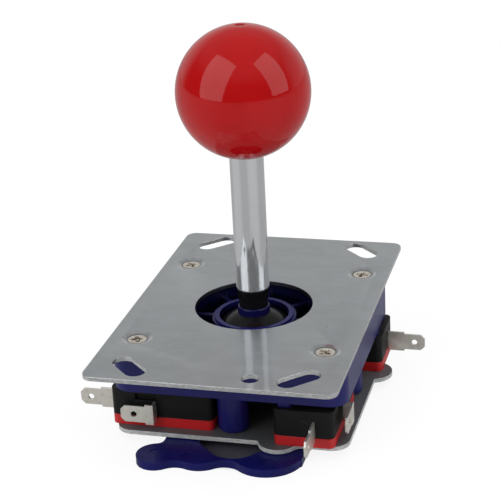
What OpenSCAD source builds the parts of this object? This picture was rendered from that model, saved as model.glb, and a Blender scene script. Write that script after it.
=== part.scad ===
// Lever unit for an arcade control panel: a ball on a sprung shaft, tilting in a moulded
// housing between two steel plates, with four snap switches laid round it like a pinwheel.
// The origin is the centre of the mounting plate's top face. The lever points along +Z and
// the front of the unit, where the grip of the gate sticks out, faces -Y.

/* [Mounting plate] */
// Width of the mounting plate, side to side
plate_w = 65; // [63.6:0.2:80]
// Length of the mounting plate, front to back
plate_l = 97; // [96:0.5:130]
// Thickness of the mounting plate
plate_t = 1.2; // [1:0.1:2]
// Corner radius of the mounting plate
plate_corner_r = 2.8; // [1:0.1:6]
// Radius of the opening round the lever
plate_hole_r = 15.9; // [13:0.1:17]
// Distance of a slot's middle from the plate's long edge
slot_in_x = 10.7; // [9:0.1:12]
// Distance of a slot's middle from the plate's short edge
slot_in_y = 7.2; // [6.4:0.1:8]
// Length of a slot from end to end
slot_l = 12; // [8:0.2:13]
// Width of a slot
slot_w = 5.5; // [4:0.1:6]
// Radius of the small round hole near the front edge
pilot_hole_r = 2.25; // [1:0.05:2.6]
// Sideways place of the small round hole
pilot_hole_x = 10; // [0:0.2:11]
// Distance of the small round hole's middle from the front edge
pilot_hole_edge = 5.5; // [4:0.1:6]

/* [Screws] */
// Distance of a plate screw from the housing's two nearest sides
screw_inset = 6.2; // [5.6:0.1:7.4]
// Radius of a countersunk screw head
screw_head_r = 2.6; // [2.2:0.05:2.62]
// Radius of a screw shank
screw_r = 1.45; // [1.4:0.05:1.6]
// Length of a plate screw, head and shank
screw_l = 9.5; // [6:0.1:10]
// Length of a bottom screw, head and shank
base_screw_l = 8; // [5:0.1:9]
// Outer radius of the pressed seat round a plate screw's head
seat_r = 4; // [3.6:0.1:4.6]
// Depth of the pressed seat
seat_depth = 0.35; // [0.2:0.05:0.4]

/* [Housing] */
// Side of the square housing
housing_w = 62.4; // [61.4:0.2:63.4]
// Height of the housing's wall
housing_h = 11.5; // [11.3:0.1:12.2]
// Thickness of the housing's wall
wall_t = 2; // [1.4:0.1:2.6]
// Thickness of the housing's floor
floor_t = 2.2; // [1.8:0.1:3]
// Corner radius of the housing
housing_corner_r = 5; // [3:0.1:7]
// Outer radius of the ring that carries the pivot
ring_r = 11.4; // [11:0.1:11.8]
// Inner radius of the ring at its lip
ring_bore_r = 9.45; // [9.2:0.05:9.6]
// Depth of the ring's top below the mounting plate's top
ring_drop = 2.5; // [2:0.1:3]
// Radius of a post between the housing and the bottom plate
post_r = 4.1; // [3.4:0.1:4.3]
// Distance of a post's middle from the housing's side
post_inset = 6; // [5.6:0.1:6.8]

/* [Lever] */
// Radius of the ball
ball_r = 17.5; // [15:0.5:20]
// Height of the ball's middle above the mounting plate
ball_z = 59.8; // [50:0.2:75]
// Radius of the shaft where it shows
shaft_r = 4.5; // [4.4:0.05:4.6]
// Radius of the shaft where it runs in the pivot
rod_r = 3; // [2.6:0.05:3.1]
// Height of the shaft's shoulder above the mounting plate
shoulder_z = 5.3; // [3:0.1:8]
// Depth of the pivot's centre below the mounting plate's top
pivot_drop = 10; // [9.9:0.05:10.2]
// Radius of the pivot's ball
pivot_r = 6.4; // [6.3:0.05:6.5]
// Radius of the pivot's neck
neck_r = 4.3; // [4.2:0.05:4.4]
// Radius of the sleeve between the neck and the shaft, at its top
sleeve_r = 4.3; // [4.1:0.05:4.4]
// Depth of the dust cap's middle below the mounting plate's top
cap_drop = 1.9; // [1.8:0.05:2.1]
// Largest tilt of the lever to each side, in degrees
tilt_max = 8; // [6:0.5:8]

/* [Switches] */
// Length of a switch case
switch_l = 27.7; // [27:0.1:28]
// Width of a switch case
switch_w = 15.9; // [15.6:0.1:16.2]
// Height of a switch, case and cover together
switch_h = 10.3; // [10:0.1:10.8]
// Height of the cover under a switch case
cover_h = 2.8; // [2.4:0.1:3]
// Distance from the lever to the face of a switch
switch_face = 12.3; // [12.2:0.05:12.5]
// Distance from the lever's middle plane to the inner end of a switch
switch_end = 4.8; // [4.6:0.05:5.2]
// How far a plunger stands out of its case
plunger_out = 1.2; // [1.1:0.05:1.3]
// Width of a plunger
plunger_w = 2.4; // [2:0.1:2.8]
// Width of a terminal's blade
blade_w = 4.6; // [3.6:0.1:4.8]
// Thickness of a terminal
blade_t = 0.6; // [0.4:0.05:0.8]

/* [Bottom plate] */
// Thickness of the bottom plate
base_t = 1.2; // [1.2:0.1:1.6]
// Corner radius of the bottom plate
base_corner_r = 4.5; // [2:0.1:6]
// Radius of an ear's round end
ear_r = 5.3; // [4.8:0.1:5.6]
// Sideways place of an ear
ear_x = 13; // [11:0.2:15]
// How far an ear stands out of the bottom plate
ear_out = 4; // [3:0.1:4.4]

/* [Gate] */
// Thickness of the gate's plate
gate_t = 2.2; // [2.1:0.1:3.2]
// Radius of the gate's hub in the bottom plate
hub_r = 11; // [10.9:0.05:11.1]
// How far the grip of the gate reaches forward from the lever
grip_reach = 44.5; // [43:0.1:46]
// Largest width of the grip across its outer lobes
grip_w = 43; // [42:0.2:44]

/* [Hidden] */

$fn = 64;

// Turning and sliding fits, the gap between still pieces, the gap between pieces that
// move past each other, and the overrun of every cut
run_fit = 0.06;
ball_fit = 0.1;
still_fit = 0.05;
slide_gap = 0.15;
move_gap = 0.3;
cut = 1;

// Colours as the real pieces show them
steel = "#9a9fa1";
chrome = "#c9ced2";
nickel = "#c8c0b0";
brass = "#b59a52";
blue = "#26216a";
red = "#ae1115";
black = "#1b1b1d";
tin = "#c4c2bd";

// Turns of the four sides of the unit, counted from the front
front = 0;
right = 90;
back = 180;
left = 270;
sides = [front, right, back, left];

// Heights of the stack below the mounting plate's top face
housing_top = -plate_t;
housing_bottom = housing_top - housing_h;
floor_top = housing_bottom + floor_t;
pin_boss_h = 1;
switch_top = housing_bottom - pin_boss_h;
switch_bottom = switch_top - switch_h;
cover_top = switch_bottom + cover_h;
base_top = switch_bottom;
base_bottom = base_top - base_t;
gate_top = base_bottom - move_gap;
gate_bottom = gate_top - gate_t;

// Screws: 45 degree heads with a cross recess
head_h = screw_head_r - screw_r;
cross_w = 0.8;
cross_l = 3;
cross_depth = 0.7;
seat_slope_share = 0.25;
seat_floor_r = screw_head_r + seat_slope_share * (seat_r - screw_head_r);

// Places that follow the sizes of the two plates and the housing
slot_x = plate_w / 2 - slot_in_x;
slot_y = plate_l / 2 - slot_in_y;
screw_reach = housing_w / 2 - screw_inset;
post_reach = housing_w / 2 - post_inset;
base_w = housing_w;

// Housing: round inner room, ribs, corner bosses and the pins that locate the switches
room_r = plate_hole_r + wall_t / 2;
rib_t = 1.4;
ring_step_w = 0.7;
ring_step_h = 0.6;
rib_drop = 1.2;
corner_boss_r = 4;
foot_r = 1.1;
pin_boss_r = 2.05;
pin_r = 1.45;
pin_l = 5.5;

// Lever: how far a point swings, and where it ends, when the lever leans both ways at once
pivot_z = -pivot_drop;
lean = tilt_max * sqrt(2);
function swing(z) = abs(z - pivot_z) * sin(lean);
function arm(r, z) = sqrt(r * r + pow(z - pivot_z, 2));
function leant_r(r, z) = arm(r, z) * sin(atan2(r, z - pivot_z) + lean);
function leant_z(r, z) = pivot_z + arm(r, z) * cos(atan2(r, z - pivot_z) + lean);

// Dust cap: a shallow dome between the neck and the ring's lip. The dome's centre lies
// where both its ends are equally far.
cap_t = 0.9;
cap_fall = 2.7;
cap_r1 = neck_r + still_fit;
cap_r2 = ring_bore_r - move_gap;
cap_z1 = -cap_drop;
cap_z2 = cap_z1 - cap_fall;
cap_centre_z = (cap_r1 * cap_r1 - cap_r2 * cap_r2 + cap_z1 * cap_z1 - cap_z2 * cap_z2)
               / (2 * (cap_z1 - cap_z2));
cap_dome_r = sqrt(cap_r1 * cap_r1 + pow(cap_z1 - cap_centre_z, 2));
cap_foot_z = cap_centre_z + sqrt(pow(cap_dome_r - cap_t, 2) - cap_r2 * cap_r2);

// Ring: a lip above the cap, and the undercut that the cap's rim leans into
ring_lip_z = pivot_z + sqrt(pow(arm(cap_r2, cap_z2) + move_gap, 2) - ring_bore_r * ring_bore_r);
undercut_r = max(leant_r(cap_r2, cap_z2), leant_r(cap_r2, cap_foot_z)) + move_gap;
ledge_z = leant_z(cap_r2, cap_foot_z) - move_gap;
tube_r = 4.2;
socket_r = pivot_r + ball_fit;
mouth_r = 5.4;
boss_bottom = pivot_z - sqrt(socket_r * socket_r - mouth_r * mouth_r);
boss_wall = 3;
boss_r = mouth_r + boss_wall;
neck_top = 0.1;
neck_edge_r = 0.4;
sleeve_foot_r = neck_r - neck_edge_r;

// Switches: places of the holes and the plunger from the case's ends and faces
case_corner_r = 1.6;
hole_in = 2.8;
plunger_in = 3.4;
plunger_stem = 2.6;
plunger_travel = 1;
plunger_tip = 0.4;
plunger_z = switch_top - switch_h / 2;

// Actuator: a square block that stops just short of the resting plungers, with the
// spring's pocket on top and a round nose below
face_swing = (pivot_z - plunger_z + plunger_w / 2) * sin(tilt_max);
actuator_half = (switch_face - plunger_out - move_gap - face_swing)
                / (cos(tilt_max) + pow(sin(tilt_max), 2));
actuator_corner_r = 1;
actuator_top = housing_bottom - 1.5 * move_gap - 2 * actuator_half * sin(tilt_max);
actuator_below = 1;
actuator_bottom = plunger_z - plunger_w / 2 - actuator_below;
actuator_web = 1.3;
pocket_floor = actuator_bottom + actuator_web;
pocket_wall = 1.2;
pocket_r = actuator_half - pocket_wall;
nose_r = 4.8;
nose_l = 4.6;
nose_bottom = actuator_bottom - nose_l;

// Spring round the pivot's tube
wire_r = 0.45;
spring_turns = 4;
spring_sides = 8;
spring_steps = 20;
spring_r = (tube_r + pocket_r) / 2 + wire_r / 2;
spring_top = boss_bottom - still_fit;
spring_bottom = pocket_floor + still_fit;

// Shaft, ball and clip
groove_r = 2.3;
clip_t = 0.6;
clip_r = 4.9;
clip_ring = 1.1;
clip_prong_w = 1.3;
clip_mouth_w = 4.4;
clip_top = nose_bottom - still_fit;
clip_bottom = clip_top - clip_t;
rod_tail = 1.1;
rod_bottom = clip_bottom - rod_tail;
edge_cut = 0.4;
ball_flat_r = 5.4;
ball_flat_z = ball_z - sqrt(ball_r * ball_r - ball_flat_r * ball_flat_r);
shaft_top = ball_flat_z - still_fit;
stud_r = 2.9;
stud_l = 11;
insert_r = 4.9;
insert_l = 13;
dimple_r = 1.1;
dimple_depth = 0.35;

// Terminals: root in the case, shoulder, blade with clipped tip and a hole
term_z = plunger_z - blade_w / 10;
root_w = 3.2;
root_l = 1.6;
shoulder_extra = 0.55;
tip_clip = 1.1;
eye_r = 0.8;
eye_in = 2.9;
com_in = 10.7;
com_shoulder_l = 4.6;
com_l = 10.4;
no_in = 12.1;
no_out = 2.8;
no_l = 9;
no_shoulder_l = 2.3;
no_eye_in = 3.6;
recess_w = 6;
recess_h = 1.8;
recess_depth = 0.9;

// Bottom plate
ear_fillet_r = 3.2;

// Gate: square opening with round corners that clears the clip at full lean, hub with
// four snap lips, and a grip of three lobes. The lobes are shares of the grip's width
// and reach: sideways place, forward place and radius of each.
opening_half = clip_r + swing(clip_bottom) + move_gap;
opening_corner_share = 0.7;
lip_share = 0.5;
lip_r = hub_r + lip_share * (switch_face - hub_r);
lip_h = 0.5;
lip_span = 36;
lip_bottom = base_top + still_fit;
lip_top = lip_bottom + lip_h;
grip_mid_x = -1;
grip_lobe_shares = [[-0.379, 0.883, 0.12], [-0.121, 0.8, 0.167], [0.28, 0.755, 0.22]];
grip_left_share = 0.3744;
grip_root_share = 0.809;
grip_back_r_share = 0.437;
window_shares = [[0.063, 0.71, 0.1674], [0.058, 0.5955, 0.2465]];
mark_shares = [[-0.379, 0.87], [-0.18, 0.885], [0.305, 0.881]];
valley_r = 5;
grip_fillet_r = 2;
window_fillet_r = 1.6;
mark_r = 1.9;
mark_depth = 0.2;

// Flat outline of a square or oblong with round corners
module rounded_outline(w, l, r) {
    square([w - 2 * r, l], center = true);
    square([w, l - 2 * r], center = true);
    for (sx = [-1, 1], sy = [-1, 1])
        translate([sx * (w / 2 - r), sy * (l / 2 - r)]) circle(r);
}

// Flat outline of a slot with round ends, long side along X
module slot_outline(l, w) {
    square([l - w, w], center = true);
    for (s = [-1, 1]) translate([s * (l - w) / 2, 0]) circle(w / 2);
}

// Stands a flat outline up between two heights
module slab(low, high) {
    translate([0, 0, low]) linear_extrude(high - low) children();
}

// Round bar or bore between two heights
module round_bar(r, low, high) {
    translate([0, 0, low]) cylinder(r = r, h = high - low);
}

// Repeats its children at the four plate screws
module at_plate_screws() {
    for (sx = [-1, 1], sy = [-1, 1])
        translate([sx * screw_reach, sy * screw_reach, 0]) children();
}

// Repeats its children at the four posts
module at_posts() {
    for (turn = sides) rotate([0, 0, turn]) translate([0, -post_reach, 0]) children();
}

// Countersunk screw whose head faces up, with the head's top at height zero
module screw(l) {
    difference() {
        rotate_extrude()
            polygon([[0, 0], [screw_head_r, 0], [screw_r, -head_h], [screw_r, -l + edge_cut],
                     [screw_r - edge_cut, -l], [0, -l]]);
        for (turn = [0, 90]) rotate([0, 0, turn])
            translate([-cross_l / 2, -cross_w / 2, -cross_depth])
                cube([cross_l, cross_w, cross_depth + cut]);
    }
}

// Room for such a screw, with a little clearance all round
module screw_room(l) {
    rotate_extrude()
        polygon([[0, cut], [screw_head_r + still_fit, cut], [screw_head_r + still_fit, 0],
                 [screw_r + still_fit, -head_h], [screw_r + still_fit, -l - move_gap],
                 [0, -l - move_gap]]);
}

module mounting_plate() {
    color(steel) difference() {
        slab(-plate_t, 0) rounded_outline(plate_w, plate_l, plate_corner_r);
        round_bar(plate_hole_r, -plate_t - cut, cut);
        for (sx = [-1, 1], sy = [-1, 1])
            translate([sx * slot_x, sy * slot_y, 0])
                rotate([0, 0, -45 * sx * sy])
                    slab(-plate_t - cut, cut) slot_outline(slot_l, slot_w);
        translate([pilot_hole_x, pilot_hole_edge - plate_l / 2, 0])
            round_bar(pilot_hole_r, -plate_t - cut, cut);
        at_plate_screws() {
            rotate_extrude()
                polygon([[0, cut], [seat_r, cut], [seat_r, 0], [seat_floor_r, -seat_depth],
                         [0, -seat_depth]]);
            translate([0, 0, -seat_depth]) screw_room(screw_l);
        }
    }
}

module plate_screws() {
    color(nickel) at_plate_screws() translate([0, 0, -seat_depth]) screw(screw_l);
}

// Ring round the pivot, with its step, the undercut for the dust cap and the boss below
module pivot_ring() {
    rotate_extrude()
        polygon([[0, boss_bottom], [boss_r, boss_bottom], [boss_r, housing_bottom + cut],
                 [ring_r, housing_bottom + cut], [ring_r, -ring_drop - ring_step_h],
                 [ring_r - ring_step_w, -ring_drop - ring_step_h],
                 [ring_r - ring_step_w, -ring_drop], [0, -ring_drop]]);
}

// Ribs that run outwards from the ring
module ribs(from_r, to_r, low, high) {
    for (turn = [0 : 45 : 315]) rotate([0, 0, turn])
        translate([from_r, -rib_t / 2, low]) cube([to_r - from_r, rib_t, high - low]);
}

// Post with a soft round foot on the bottom plate
module post() {
    round_bar(post_r, base_top + foot_r, floor_top);
    translate([0, 0, base_top]) rotate_extrude() {
        square([post_r - foot_r, foot_r]);
        intersection() {
            translate([post_r - foot_r, foot_r]) circle(foot_r);
            square([post_r, foot_r]);
        }
    }
}

// Places of the two locating holes of the front switch
pin_places = [[-switch_end - switch_l + hole_in, -switch_face - hole_in],
              [-switch_end - hole_in, -switch_face - switch_w + hole_in]];

module switch_pins() {
    for (turn = sides, place = pin_places) rotate([0, 0, turn]) {
        intersection() {
            translate(place) round_bar(pin_boss_r, switch_top, floor_top);
            slab(switch_top, floor_top) square([housing_w, housing_w], center = true);
        }
        translate(place) round_bar(pin_r, switch_top - pin_l, floor_top);
    }
}

module housing() {
    inner_w = housing_w - 2 * wall_t;
    color(blue) difference() {
        union() {
            difference() {
                slab(housing_bottom, housing_top)
                    rounded_outline(housing_w, housing_w, housing_corner_r);
                slab(floor_top, housing_top + cut)
                    rounded_outline(inner_w, inner_w, housing_corner_r - wall_t);
            }
            intersection() {
                ribs(room_r, housing_w, floor_top - cut, housing_top);
                slab(floor_top - cut, housing_top)
                    rounded_outline(housing_w - wall_t, housing_w - wall_t,
                                    housing_corner_r - wall_t / 2);
            }
            difference() {
                round_bar(room_r + rib_t, floor_top - cut, housing_top);
                round_bar(room_r, floor_top - 2 * cut, housing_top + cut);
            }
            ribs(ring_r - ring_step_w, room_r + rib_t / 2, floor_top - cut,
                 -ring_drop - rib_drop);
            pivot_ring();
            intersection() {
                at_plate_screws() round_bar(corner_boss_r, floor_top - cut, housing_top);
                slab(floor_top - cut, housing_top)
                    rounded_outline(housing_w, housing_w, housing_corner_r);
            }
            at_posts() post();
            switch_pins();
        }
        round_bar(ring_bore_r, ledge_z, cut);
        round_bar(undercut_r, ledge_z, ring_lip_z);
        round_bar(pivot_r + move_gap, pivot_z, cut);
        translate([0, 0, pivot_z]) sphere(socket_r);
        at_plate_screws() translate([0, 0, -seat_depth]) screw_room(screw_l);
        at_posts() translate([0, 0, base_bottom]) mirror([0, 0, 1]) screw_room(base_screw_l);
    }
}

// Black dome round the neck that closes the ring in every position of the lever
module dust_cap() {
    color(black) difference() {
        intersection() {
            translate([0, 0, cap_centre_z]) sphere(cap_dome_r);
            round_bar(cap_r2, cap_foot_z - cut, 0);
        }
        translate([0, 0, cap_centre_z]) sphere(cap_dome_r - cap_t);
        round_bar(cap_r1, cap_foot_z - cut, cut);
    }
}

// Middle of an ear, and of the fillet that joins its one side to the plate's edge
ear_y = -base_w / 2 - ear_out + ear_r;
fillet_y = -base_w / 2 - ear_fillet_r;
fillet_x = ear_x + sqrt(pow(ear_r + ear_fillet_r, 2) - pow(fillet_y - ear_y, 2));

// Ear on the front side: a round tab and the web that carries its fillet
module ear() {
    translate([ear_x, ear_y, 0]) round_bar(ear_r, base_bottom, base_top);
    difference() {
        slab(base_bottom, base_top)
            polygon([[ear_x, ear_y + ear_r], [fillet_x, ear_y + ear_r], [fillet_x, fillet_y],
                     [ear_x, ear_y]]);
        translate([fillet_x, fillet_y, 0])
            round_bar(ear_fillet_r + still_fit, base_bottom - cut, base_top + cut);
    }
}

module bottom_plate() {
    color(steel) difference() {
        union() {
            slab(base_bottom, base_top) rounded_outline(base_w, base_w, base_corner_r);
            for (turn = sides) rotate([0, 0, turn]) ear();
        }
        round_bar(hub_r + run_fit, base_bottom - cut, base_top + cut);
        at_posts() translate([0, 0, base_bottom]) mirror([0, 0, 1]) screw_room(base_screw_l);
    }
}

module bottom_screws() {
    color(nickel) at_posts()
        translate([0, 0, base_bottom]) mirror([0, 0, 1]) screw(base_screw_l);
}

// Flat outline of the front switch, seen from above
module switch_outline() {
    translate([-switch_end - switch_l / 2, -switch_face - switch_w / 2])
        rounded_outline(switch_l, switch_w, case_corner_r);
}

// Black case of the front switch, turned to its side of the unit
module switch_case(turn) {
    end_x = -switch_end - switch_l;
    outer_y = -switch_face - switch_w;
    root_room = root_w + 2 * still_fit;
    color(black) rotate([0, 0, turn]) difference() {
        slab(cover_top, switch_top) switch_outline();
        for (place = pin_places) translate(place)
            round_bar(pin_r + still_fit, cover_top - cut, switch_top + cut);
        translate([-switch_end - plunger_in - plunger_w / 2 - slide_gap,
                   -switch_face - plunger_stem - plunger_travel - move_gap,
                   plunger_z - plunger_w / 2 - slide_gap])
            cube([plunger_w + 2 * slide_gap, plunger_stem + plunger_travel + move_gap + cut,
                  plunger_w + 2 * slide_gap]);
        translate([end_x - cut, -switch_face - com_in - blade_t / 2 - still_fit,
                   term_z - root_room / 2])
            cube([root_l + still_fit + cut, blade_t + 2 * still_fit, root_room]);
        translate([end_x + no_in - blade_t / 2 - still_fit, outer_y - cut,
                   term_z - root_room / 2])
            cube([blade_t + 2 * still_fit, root_l + still_fit + cut, root_room]);
        translate([end_x + no_in + blade_t - recess_w, outer_y - cut,
                   term_z + blade_w / 2 + shoulder_extra])
            cube([recess_w, recess_depth + cut, recess_h]);
    }
}

// Red cover under the same case
module switch_cover(turn) {
    color(red) rotate([0, 0, turn]) difference() {
        slab(switch_bottom, cover_top) switch_outline();
        for (place = pin_places) translate(place)
            round_bar(pin_r + still_fit, switch_bottom - cut, cover_top + cut);
    }
}

// Plunger of the front switch, with a bevelled tip that faces the lever
module plunger(turn) {
    half = plunger_w / 2;
    tip_y = -switch_face + plunger_out;
    color(red) rotate([0, 0, turn]) translate([-switch_end - plunger_in, 0, plunger_z])
        slab(-half, half)
            polygon([[-half, -switch_face - plunger_stem], [half, -switch_face - plunger_stem],
                     [half, tip_y - plunger_tip], [half - plunger_tip, tip_y],
                     [-half + plunger_tip, tip_y], [-half, tip_y - plunger_tip]]);
}

// Flat outline of a straight terminal that grows along +X from the wall of the case
module blade_outline(l, shoulder_l) {
    half = blade_w / 2;
    difference() {
        union() {
            translate([-root_l, -root_w / 2]) square([root_l + still_fit, root_w]);
            translate([still_fit, -half - shoulder_extra])
                square([shoulder_l - still_fit, blade_w + 2 * shoulder_extra]);
            polygon([[still_fit, -half], [l - tip_clip, -half], [l, -half + tip_clip],
                     [l, half - tip_clip], [l - tip_clip, half], [still_fit, half]]);
        }
        translate([l - eye_in, 0]) circle(eye_r);
    }
}

// Straight terminal at the outer end of the case
module com_terminal(turn) {
    color(tin) rotate([0, 0, turn])
        translate([-switch_end - switch_l, -switch_face - com_in + blade_t / 2, term_z])
            rotate([90, 0, 0]) mirror([1, 0, 0])
                slab(0, blade_t) blade_outline(com_l, com_shoulder_l);
}

// Terminal at the long face of the case, bent back along it towards the outer end
module no_terminal(turn) {
    half = blade_w / 2;
    wide = half + shoulder_extra;
    color(tin) rotate([0, 0, turn])
        translate([-switch_end - switch_l + no_in, -switch_face - switch_w, term_z]) {
            translate([-blade_t / 2, -still_fit, -root_w / 2])
                cube([blade_t, root_l + still_fit, root_w]);
            translate([-blade_t / 2, -no_out, -wide])
                cube([blade_t, no_out - still_fit, 2 * wide]);
            translate([blade_t / 2, -no_out + blade_t, 0]) rotate([90, 0, 0])
                mirror([1, 0, 0]) slab(0, blade_t) difference() {
                    union() {
                        translate([0, -wide]) square([no_shoulder_l, 2 * wide]);
                        polygon([[0, -half], [no_l - tip_clip, -half], [no_l, -half + tip_clip],
                                 [no_l, half - tip_clip], [no_l - tip_clip, half], [0, half]]);
                    }
                    translate([no_l - no_eye_in, 0]) circle(eye_r);
                }
        }
}

// Point on the spring's wire: ring number along the coil, corner number round the wire
function spring_point(i, j) =
    let (turn = 360 * i / spring_steps,
         round_wire = 360 * j / spring_sides,
         rise = (spring_top - spring_bottom - 2 * wire_r) * i / (spring_turns * spring_steps),
         r = spring_r + wire_r * cos(round_wire))
    [r * cos(turn), r * sin(turn), spring_bottom + wire_r + rise + wire_r * sin(round_wire)];

module spring() {
    rings = spring_turns * spring_steps;
    points = [for (i = [0 : rings], j = [0 : spring_sides - 1]) spring_point(i, j)];
    walls = [for (i = [0 : rings - 1], j = [0 : spring_sides - 1])
             let (k = (j + 1) % spring_sides)
             [i * spring_sides + j, i * spring_sides + k,
              (i + 1) * spring_sides + k, (i + 1) * spring_sides + j]];
    first = [for (j = [spring_sides - 1 : -1 : 0]) j];
    last = [for (j = [0 : spring_sides - 1]) rings * spring_sides + j];
    color(chrome) polyhedron(points, concat([first], walls, [last]));
}

// Blue pivot: neck with a rounded shoulder, the ball and the tube for the actuator
module pivot() {
    shoulder = [neck_r - neck_edge_r, neck_top - neck_edge_r];
    color(blue) difference() {
        union() {
            rotate_extrude() {
                polygon([[0, pivot_z], [neck_r, pivot_z], [neck_r, shoulder.y], shoulder,
                         [shoulder.x, neck_top], [0, neck_top]]);
                translate(shoulder) circle(neck_edge_r);
            }
            translate([0, 0, pivot_z]) sphere(pivot_r);
            round_bar(tube_r, pocket_floor + still_fit, pivot_z);
        }
        round_bar(rod_r + run_fit, pocket_floor - cut, neck_top + cut);
    }
}

// Black sleeve that widens from the neck up to the shaft's shoulder
module sleeve() {
    bore_r = rod_r + run_fit;
    color(black) rotate_extrude()
        polygon([[bore_r, neck_top + still_fit], [sleeve_foot_r, neck_top + still_fit],
                 [sleeve_r, shoulder_z - still_fit], [bore_r, shoulder_z - still_fit]]);
}

module actuator() {
    color(black) difference() {
        union() {
            slab(actuator_bottom, actuator_top)
                rounded_outline(2 * actuator_half, 2 * actuator_half, actuator_corner_r);
            round_bar(nose_r, nose_bottom, actuator_bottom + actuator_web / 2);
        }
        round_bar(pocket_r, pocket_floor, actuator_top + cut);
        round_bar(rod_r + run_fit, nose_bottom - cut, actuator_top + cut);
    }
}

// Turned steel shaft: tail with the clip's groove, running part, thick part and stud
module shaft() {
    color(chrome) rotate_extrude()
        polygon([[0, rod_bottom], [rod_r - edge_cut, rod_bottom],
                 [rod_r, rod_bottom + edge_cut], [rod_r, clip_bottom - still_fit],
                 [groove_r, clip_bottom - still_fit], [groove_r, clip_top + still_fit],
                 [rod_r, clip_top + still_fit], [rod_r, shoulder_z],
                 [shaft_r - edge_cut, shoulder_z], [shaft_r, shoulder_z + edge_cut],
                 [shaft_r, shaft_top], [stud_r, shaft_top],
                 [stud_r, shaft_top + stud_l - edge_cut],
                 [stud_r - edge_cut, shaft_top + stud_l], [0, shaft_top + stud_l]]);
}

module ball_top() {
    color(red) difference() {
        translate([0, 0, ball_z]) sphere(ball_r, $fn = 128);
        translate([0, 0, ball_flat_z - ball_r])
            cylinder(r = ball_r, h = ball_r);
        round_bar(insert_r + still_fit, ball_flat_z - cut, ball_flat_z + insert_l + still_fit);
        translate([0, 0, ball_z + ball_r - dimple_depth])
            cylinder(r1 = 0, r2 = dimple_r * (dimple_depth + cut) / dimple_depth,
                     h = dimple_depth + cut);
    }
}

module ball_insert() {
    color(brass) difference() {
        round_bar(insert_r, ball_flat_z, ball_flat_z + insert_l);
        round_bar(stud_r + still_fit, ball_flat_z - cut, shaft_top + stud_l + still_fit);
    }
}

// Snap clip in the shaft's groove: an open ring with three prongs that reach inwards
module e_clip() {
    color(steel) slab(clip_bottom, clip_top) {
        difference() {
            circle(clip_r);
            circle(clip_r - clip_ring);
            translate([0, -clip_mouth_w / 2]) square([clip_r + cut, clip_mouth_w]);
        }
        difference() {
            for (turn = [60, 180, 300]) rotate(turn)
                translate([0, -clip_prong_w / 2])
                    square([clip_r - clip_ring / 2, clip_prong_w]);
            circle(groove_r + still_fit);
        }
    }
}

// Circles of a table of shares: sideways, forward and radius
module share_circles(table) {
    for (s = table)
        translate([grip_mid_x + s[0] * grip_w, -s[1] * grip_reach]) circle(s[2] * grip_w);
}

// Flat outline of the gate: a plate under the hub that grows forward into the grip
module gate_outline() {
    left_x = grip_mid_x - grip_left_share * grip_w;
    right_x = grip_mid_x + grip_w / 2;
    back_r = grip_back_r_share * grip_w;
    offset(r = -grip_fillet_r, $fn = 48) offset(r = grip_fillet_r, $fn = 48) {
        translate([left_x, -grip_root_share * grip_reach])
            square([right_x - left_x, grip_root_share * grip_reach]);
        translate([(left_x + right_x) / 2, 0]) circle(back_r, $fn = 48);
        offset(r = -valley_r, $fn = 48) offset(r = valley_r, $fn = 48)
            share_circles(grip_lobe_shares);
    }
}

// Flat outline of the window in the grip
module window_outline() {
    offset(r = -window_fillet_r, $fn = 48) offset(r = window_fillet_r, $fn = 48)
        share_circles(window_shares);
}

// Square opening with round corners that the lever's end moves in
module gate_opening(low, high) {
    slab(low, high)
        rounded_outline(2 * opening_half, 2 * opening_half,
                        opening_corner_share * opening_half);
}

module gate() {
    color(blue) difference() {
        union() {
            difference() {
                slab(gate_bottom, gate_top) gate_outline();
                slab(gate_bottom - cut, gate_top + cut) window_outline();
                for (s = mark_shares)
                    translate([grip_mid_x + s[0] * grip_w, -s[1] * grip_reach, 0])
                        round_bar(mark_r, gate_top - mark_depth, gate_top + cut);
            }
            round_bar(hub_r, gate_bottom + gate_t / 2, lip_top);
            intersection() {
                round_bar(lip_r, lip_bottom, lip_top);
                slab(lip_bottom, lip_top) for (turn = sides) rotate(turn + 45)
                    polygon([[0, 0],
                             2 * lip_r * [cos(-lip_span / 2), sin(-lip_span / 2)],
                             2 * lip_r * [cos(lip_span / 2), sin(lip_span / 2)]]);
            }
        }
        gate_opening(gate_bottom - cut, lip_top + cut);
    }
}

mounting_plate();
plate_screws();
housing();
dust_cap();
bottom_plate();
bottom_screws();
switch_case(front);  // switch_case_front
switch_case(right);  // switch_case_right
switch_case(back);  // switch_case_back
switch_case(left);  // switch_case_left
switch_cover(front);  // switch_cover_front
switch_cover(right);  // switch_cover_right
switch_cover(back);  // switch_cover_back
switch_cover(left);  // switch_cover_left
plunger(front);  // plunger_front
plunger(right);  // plunger_right
plunger(back);  // plunger_back
plunger(left);  // plunger_left
com_terminal(front);  // com_terminal_front
com_terminal(right);  // com_terminal_right
com_terminal(back);  // com_terminal_back
com_terminal(left);  // com_terminal_left
no_terminal(front);  // no_terminal_front
no_terminal(right);  // no_terminal_right
no_terminal(back);  // no_terminal_back
no_terminal(left);  // no_terminal_left
spring();
pivot();
sleeve();
actuator();
shaft();
ball_top();
ball_insert();
e_clip();
gate();
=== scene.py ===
"""Looks of an arcade joystick lever: a red ball on a chromed shaft over two steel plates.

Sizes are in millimetres in the classes below and in metres in the meshes. The frame is that
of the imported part: the origin is the middle of the mounting plate's top face, +Z points
along the lever and the front is -Y.
"""

import logging
import math
from dataclasses import dataclass, field
from enum import Enum
from typing import Any, ClassVar

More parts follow.
